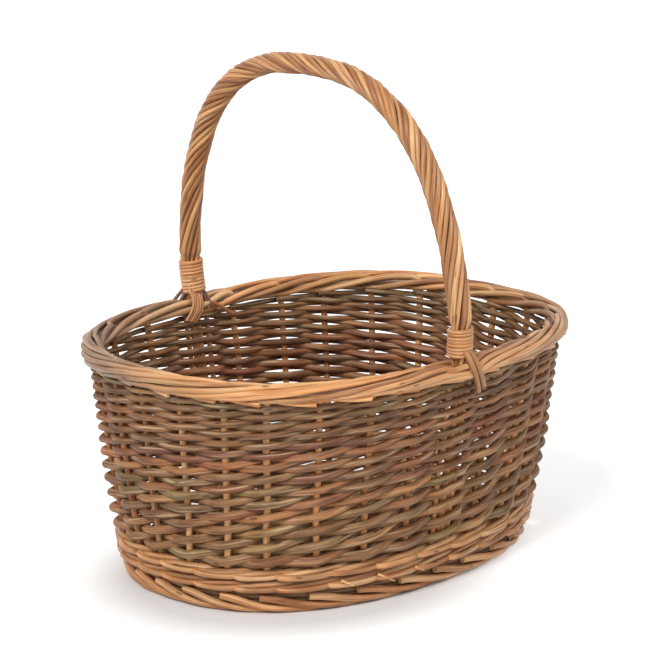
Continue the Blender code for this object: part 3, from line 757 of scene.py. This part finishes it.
# a dark filling: painted shade inside the rolled border
rods = [shadeCoreRod(number) for number in range(len(shadeCore["places"]))]
finish(bendRods("borderShadeCore", rods, 2), buffMaterial, "buff_stake", [])
stakeNode = 0
for station in range(wall["stations"]):
    if station in wall["handleAt"]:
        nodes = ["near_handle_liner_right" if station == wall["handleAt"][1] else "far_handle_liner_right"]
    else:
        stakeNode += 1
        nodes = ["stake_%02d" % stakeNode]
    piece = bendRods("stakeRod%02d" % (station + 1), [stakeRod(station), tipRod(station)])
    finish(piece, buffMaterial, "buff_stake", nodes)
print("border rolled")


# handle

handle = {
    "halfSpan": 165.2 * mm, "rise": 239.2 * mm, "power": 2.5, "places": 1600, "legPlaces": 60,
    "lean": -17.0 * mm, "skew": 9.0 * mm, "settle": 45.0 * mm, "turnReach": 20 * mm,
    "bowLow": 19 * mm, "bowFoot": -4.8 * mm,  # beside the stake
}
roping = {
    "rods": 10, "rodPlaces": 560, "radius": 2.45 * mm, "centre": 7.85 * mm,
    "waistCentre": 6.4 * mm, "waistRadius": 1.8 * mm, "tailCentre": 4.4 * mm, "tailReach": 14 * mm,
    "thinner": 0.9 * mm, "thinFrom": 0.8,  # at the top, and the share of the way up where that starts
    "footGap": 9.5 * mm, "flare": 8.0 * mm,
    "nearTail": 19 * mm, "farTail": 9 * mm,  # how far the rods run on below the bindings
    "lay": (9.0, 27.0), "layPace": 1.15,  # degrees, at the feet and at the top
    "turned": (-0.05, 0.05), "apart": (0.86, 1.06), "swells": ((1120, 0.09, 0.05),),
    "outs": ((1140, 0.12, 0.4 * mm),), "tones": (0.76, 1.18), "tint": (0.94, 1.02, 1.09),
    "seed": 1100, "colours": 1160, "grain": 160,
}
bowRods = {
    "places": 300, "footRadius": 2.5 * mm, "taperAbove": 6 * mm, "taperReach": 16 * mm,
    "tones": (1.1, 1.2), "hidden": 0.3, "colours": 1180, "grain": 175,  # painted shade: darker where the bow runs up between the roping
}
liners = {  # rods pushed down the wall on both sides of the bow
    "past": (-9.9 * mm, 5.1 * mm, 9.9 * mm), "radius": 2.35 * mm,
    "heights": (19 * mm, 192 * mm), "places": 24,
    "tones": (1.05, 1.3), "colours": 1190, "grain": 180,
}
lappings = {
    "near": {"turns": 8.0, "pitch": 3.0 * mm, "radius": 1.75 * mm, "start": 1.7 * mm},
    "far": {"turns": 9.3, "pitch": 3.3 * mm, "radius": 1.9 * mm, "start": 3.6 * mm},
}
lapping = {
    "centre": 9.45 * mm, "clear": 0.9 * mm, "finePerTurn": 36,
    "tones": (1.0, 1.1), "colours": 1200, "grain": 190,
}


def archPoints():
    angle = np.linspace(0, math.pi, handle["places"])
    rise = np.abs(np.sin(angle)) ** (2 / handle["power"])
    cosine = np.cos(angle)
    out = -handle["halfSpan"] * np.sign(cosine) * np.abs(cosine) ** (2 / handle["power"])
    height = handle["rise"] * rise
    farAt, nearAt = wall["handleAt"]
    farFoot, nearFoot = (onWall(at, wall["borderMiddle"]) for at in (farAt, nearAt))
    feet = np.where((out > 0)[:, None], farFoot, nearFoot)
    x = between((feet[:, 0], handle["lean"]), rise)
    y = between((feet[:, 1], out), glide(height / handle["settle"]))
    arch = np.stack([x, y + handle["skew"] * rise, wall["borderMiddle"] + height], axis=1)
    near, far = (onWall(at + handle["bowFoot"] / spacing, handle["bowLow"]) for at in (nearAt, farAt))
    legs = np.linspace(0, 1, handle["legPlaces"])[:-1, None]
    return np.concatenate([between((near, arch[0]), legs), arch, between((far, arch[-1]), legs[::-1])])


bow = archPoints()
bowAlong = alongOf(bow)


def bowAt(distance):
    return np.stack([np.interp(distance, bowAlong, bow[:, axis]) for axis in range(3)], axis=-1)


def aroundBow(distance, angle, radius):
    along = bowAt(distance + handle["turnReach"]) - bowAt(distance - handle["turnReach"])
    along /= np.linalg.norm(along, axis=-1, keepdims=True)
    side = np.array([1.0, 0, 0]) - along * along[..., :1]
    side /= np.linalg.norm(side, axis=-1, keepdims=True)
    inward = np.cross(along, side)
    around = side * np.cos(angle)[:, None] + inward * np.sin(angle)[:, None]
    return bowAt(distance) + around * np.broadcast_to(radius, len(distance))[:, None]


middle = len(bow) // 2
ropingLow = wall["borderMiddle"] + roping["footGap"]
ropingNear = float(np.interp(ropingLow, bow[:middle, 2], bowAlong[:middle]))
ropingFar = float(np.interp(-ropingLow, -bow[middle:, 2], bowAlong[middle:]))
nearWrap, farWrap = (wrap["turns"] * wrap["pitch"] + wrap["start"] + lapping["clear"]
                     for wrap in lappings.values())


def handleRods():
    first, last = ropingNear - roping["nearTail"], ropingFar + roping["farTail"]
    distance = np.linspace(first, last, roping["rodPlaces"])
    wayUp = np.sin(math.pi * (distance - ropingNear) / (ropingFar - ropingNear)).clip(0, 1)
    lay = np.radians(between(roping["lay"], glide(wayUp * roping["layPace"])))
    twist = np.concatenate(([0], np.cumsum(np.tan(lay[:-1]) / roping["centre"] * np.diff(distance))))
    clear = np.minimum(distance - ropingNear - nearWrap, ropingFar - farWrap - distance)
    swell = glide(clear / roping["flare"])
    centre = between((roping["waistCentre"], roping["centre"]), swell)
    below = glide(np.maximum(ropingNear - distance, distance - ropingFar) / roping["tailReach"])
    centre -= (roping["waistCentre"] - roping["tailCentre"]) * below
    centre -= roping["thinner"] * glide((wayUp - roping["thinFrom"]) / (1 - roping["thinFrom"]))
    rods = []
    for number in range(roping["rods"]):
        dice = np.random.default_rng(roping["seed"] + number)
        start = math.tau * number / roping["rods"] + dice.uniform(*roping["turned"])
        radius = between((roping["waistRadius"], roping["radius"]), swell)
        radius *= dice.uniform(*roping["apart"]) * (1 + drifts(roping["swells"], number, distance))
        places = aroundBow(distance, start + twist, centre + drifts(roping["outs"], number, distance))
        colour = buffColours(roping["colours"] + number, np.linspace(0, 1, len(distance)), *roping["tones"])
        rods.append(Rod(places, radius, colour * roping["tint"], roping["grain"] + number))
    return rods


def bowRod():
    places = bowAt(np.linspace(0, bowAlong[-1], bowRods["places"]))
    inWall = glide((wall["borderMiddle"] + bowRods["taperAbove"] - places[:, 2]) / bowRods["taperReach"])
    radius = between((wall["bowRadius"], bowRods["footRadius"]), inWall)
    colour = buffColours(bowRods["colours"], np.linspace(0, 1, len(places)), *bowRods["tones"])
    # painted shade on the bow above the wall, inside the roping
    return Rod(places, radius, colour * between((bowRods["hidden"], 1), inWall)[:, None], bowRods["grain"])


def linerRods(at, side):
    upright = np.linspace(*liners["heights"], liners["places"])
    rods = []
    for row, past in enumerate(liners["past"]):
        number = side + 2 * (row + 1)
        station = np.full(len(upright), at + past / spacing)
        colour = buffColours(liners["colours"] + number, np.linspace(0, 1, len(upright)), *liners["tones"])
        rods.append(Rod(onWall(station, upright), liners["radius"], colour, liners["grain"] + number))
    return rods


def lappingRod(foot):
    wrap = lappings[foot]
    start, sign = (ropingNear, 1) if foot == "near" else (ropingFar, -1)
    turn = np.linspace(0, wrap["turns"], int(wrap["turns"] * lapping["finePerTurn"]))
    distance = start + sign * (wrap["start"] + wrap["pitch"] * turn)
    places = aroundBow(distance, sign * math.tau * turn, lapping["centre"])
    colour = buffColours(lapping["colours"] + sign, np.linspace(0, 1, len(turn)), *lapping["tones"])
    return Rod(places, wrap["radius"], colour, lapping["grain"] + sign)


finish(bendRods("handleBow", [bowRod()]), buffMaterial, "buff_handle", ["handle_bow"])
for number, (side, at) in enumerate(zip(("far", "near"), wall["handleAt"])):
    piece = bendRods(side + "Liner", linerRods(at, number))
    finish(piece, buffMaterial, "buff_stake", [side + "_handle_liner_left"])
for number, rod in enumerate(handleRods()):
    piece = bendRods("handleRod%02d" % (number + 1), [rod])
    finish(piece, handleMaterial, "buff_handle", ["handle_roping_1", "handle_roping_2"])
for side in lappings:
    piece = bendRods(side + "Lapping", [lappingRod(side)])
    finish(piece, handleMaterial, "buff_lapping", [side + "_handle_lapping"])


# loose ends at the feet of the handle

def fan(count, first, last):  # routes spread evenly from the first to the last
    return [between(np.array((first, last)), number / (count - 1)) for number in range(count)]


looseEnds = {  # routes: mm past the handle's station, outwards and above the floor
    "far": (
        # tails fanned down inside
        {"radii": (1.2 * mm, 1.08 * mm, 1.32 * mm), "tones": (0.85, 1.05), "seed": 1250,
         "routes": fan(5, ((7.5, -5.5, 217), (8.8, -8, 212), (8.9, -11.2, 206.6), (10.7, -12.7, 200),
                           (13.7, -12.2, 193.4), (17.0, -11.2, 187.8)),
                       ((-1.5, -5.5, 216), (-0.3, -8, 210), (1.1, -11.2, 203), (3.0, -12.7, 196.4),
                        (6.3, -12.2, 189.7), (10.1, -11.2, 185)))},
        {"radii": (1.7 * mm,), "tones": (0.32,), "seed": 1260,  # dark struts on both sides
         "routes": (((-3.5, -4, 214), (-5.2, -6.5, 209), (-6.4, -8.5, 203.6), (-7.6, -11, 196)),
                    ((5.5, 3, 214), (7.9, 5, 210), (10.4, 8, 205), (13.2, 11.5, 199)),
                    ((4, 3, 213), (5.6, 4.5, 208), (7.4, 6.5, 203), (9.4, 9.5, 197)),
                    ((2.6, 3, 212), (3.6, 4, 207), (4.8, 6, 202), (5.8, 8, 196)),
                    ((-2.2, -4, 213), (-3.4, -6.5, 208), (-4.3, -8.5, 202.6), (-4.9, -11, 195)))},
        {"radii": (1.9 * mm,), "tones": (0.78,), "seed": 1265,  # a stub that stands off the weave
         "routes": (((-9.0, -9.5, 199), (-14, -12.5, 196), (-21, -14.5, 191.2), (-28.2, -15.5, 186.2)),)}),
    "near": (
        {"radii": (2.5 * mm,), "tones": (0.6,), "seed": 1270,  # two strips outside
         "routes": (((-3.5, 7.5, 213), (-3.2, 12.0, 208), (-1.9, 16.0, 200.5), (3.2, 16.2, 190),
                     (11.8, 12.5, 175.5)),
                    ((2.0, 6.5, 213), (2.6, 11.5, 207.5), (4.0, 16.0, 200), (9.3, 16.2, 190),
                     (17.4, 12.5, 179.5)))},
        {"radii": (2.4 * mm,), "tones": (0.9,), "seed": 1275,
         "routes": (((-22, 9.5, 197.5), (-13.5, 11.5, 200.5), (-5.2, 12.5, 201.5)),)}),
}
loose = {"places": 30, "grains": 97, "spread": 1.15}  # the spread of light between one rod and the next


def looseRod(at, route, radius, tone, seed):
    path = smoothRoute(np.array(route) / (routes["stride"], 1, 1), loose["places"])
    places = onWall(at + path[:, 0] * routes["stride"] * mm / spacing, path[:, 2] * mm, path[:, 1] * mm)
    colour = buffColours(seed, np.linspace(0, 1, len(places)), tone, tone * loose["spread"])
    return Rod(places, radius, colour, seed % loose["grains"])


for side, at in zip(("far", "near"), wall["handleAt"]):
    rods = []
    for group in looseEnds[side]:
        for number, route in enumerate(group["routes"]):
            radius, tone = (group[row][number % len(group[row])] for row in ("radii", "tones"))
            rods.append(looseRod(at, route, radius, tone, group["seed"] + number))
    finish(bendRods(side + "LooseEnds", rods), handleMaterial, "buff_handle", [])
print("handle roped")


# kept CAD pieces: the base sticks get a plain willow finish that follows the object

plainLooks = {
    "waves": 260.0, "detail": 4.0, "edge": (0.3, 0.7), "rough": (0.45, 0.6),
    "light": fromScreen(160, 116, 74), "dark": fromScreen(118, 82, 52),
}


def plainWillow():
    material, tree, shader = newMaterial("plainWillow")
    place = node(tree, "TexCoord", outlet="Object")
    fibre = node(tree, "TexNoise", vector=place, scale=plainLooks["waves"], detail=plainLooks["detail"])
    share = remap(tree, fibre, *plainLooks["edge"])
    plug(tree, mixColour(tree, share, plainLooks["light"], plainLooks["dark"]), shader.inputs["Base Color"])
    plug(tree, remap(tree, fibre, *plainLooks["edge"], *plainLooks["rough"]), shader.inputs["Roughness"])
    return material


plain = plainWillow()
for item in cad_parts.values():
    item.data.materials.clear()
    item.data.materials.append(plain)
print("kept pieces finished")


# floor, light and camera

floorLooks = {
    "size": 60, "height": -0.2 * mm, "paint": (0.76, 0.76, 0.76), "glow": 0.485,
    # the patch left without the painted floor light, where the basket's shadow shows
    "middle": (-68 * mm, -22 * mm), "halves": (147 * mm, 126 * mm), "edge": (1.0, 2.1),
}
bpy.ops.object.select_all(action="DESELECT")
bpy.ops.mesh.primitive_plane_add(size=floorLooks["size"], location=(0, 0, floorLooks["height"]))
floor = bpy.context.object
floor.name = "floor"


def paleFloor():
    material, tree, shader = newMaterial("paleFloor")
    tree.nodes.remove(shader)
    place = node(tree, "TexCoord", outlet="Object")
    across, deep = ((node(tree, "SeparateXYZ", None, axis, (place,)) - middle) / half
                    for axis, middle, half in zip("XY", floorLooks["middle"], floorLooks["halves"]))
    outside = remap(tree, across * across + deep * deep, *floorLooks["edge"])
    # painted light: the floor glows for the camera outside the patch, whitening away the basket's shadow
    # there
    glow = node(tree, "Emission", color=(1, 1, 1), strength=seenRays(tree) * outside * floorLooks["glow"])
    total = node(tree, "AddShader", None, 0, (node(tree, "BsdfDiffuse", color=floorLooks["paint"]), glow))
    plug(tree, total, tree.nodes["Material Output"].inputs["Surface"])
    return material


floor.data.materials.append(paleFloor())

studio = {"lighting": 0.58, "seen": 1.0}  # the world's strength on the basket, and as it is seen
world = bpy.data.worlds.new("studio")
bpy.context.scene.world = world
world.use_nodes = True
tree = world.node_tree
background = tree.nodes["Background"]
plug(tree, (1, 1, 1), background.inputs["Color"])
strength = remap(tree, seenRays(tree), 0, 1, studio["lighting"], studio["seen"])
plug(tree, strength, background.inputs["Strength"])

lamps = (  # strength, turns and spread in degrees
    ("keySun", 2.0, (48, 0, -75), 22),
    ("fillSun", 0.5, (60, 0, 5), 60),
)
for name, strength, turns, spread in lamps:
    bpy.ops.object.light_add(type="SUN", rotation=[math.radians(turn) for turn in turns])
    lamp = bpy.context.object
    lamp.name = name
    lamp.data.energy = strength
    lamp.data.angle = math.radians(spread)

view = {  # as fitted to the photograph, in its pixels, and degrees
    "focal": 2896.7, "distance": 2541.3 * mm, "azimuth": -46.14, "elevation": 13.96,
    "target": (0, 0, 200 * mm), "middleX": 328.5, "middleY": 329.5, "side": 665, "sensor": 36, "far": 100,
}
azimuth, elevation = math.radians(view["azimuth"]), math.radians(view["elevation"])
back = Vector((math.sin(azimuth) * math.cos(elevation), -math.cos(azimuth) * math.cos(elevation),
               math.sin(elevation)))
bpy.ops.object.camera_add(location=Vector(view["target"]) + back * view["distance"])
camera = bpy.context.object
camera.rotation_euler = back.to_track_quat("Z", "Y").to_euler()
camera.data.sensor_width = view["sensor"]
camera.data.lens = view["focal"] * view["sensor"] / view["side"]
camera.data.shift_x = (view["side"] / 2 - view["middleX"]) / view["side"]
camera.data.shift_y = (view["middleY"] - view["side"] / 2) / view["side"]
camera.data.clip_end = view["far"]
bpy.context.scene.camera = camera
bpy.context.scene.view_settings.view_transform = "Standard"
print("stage set")
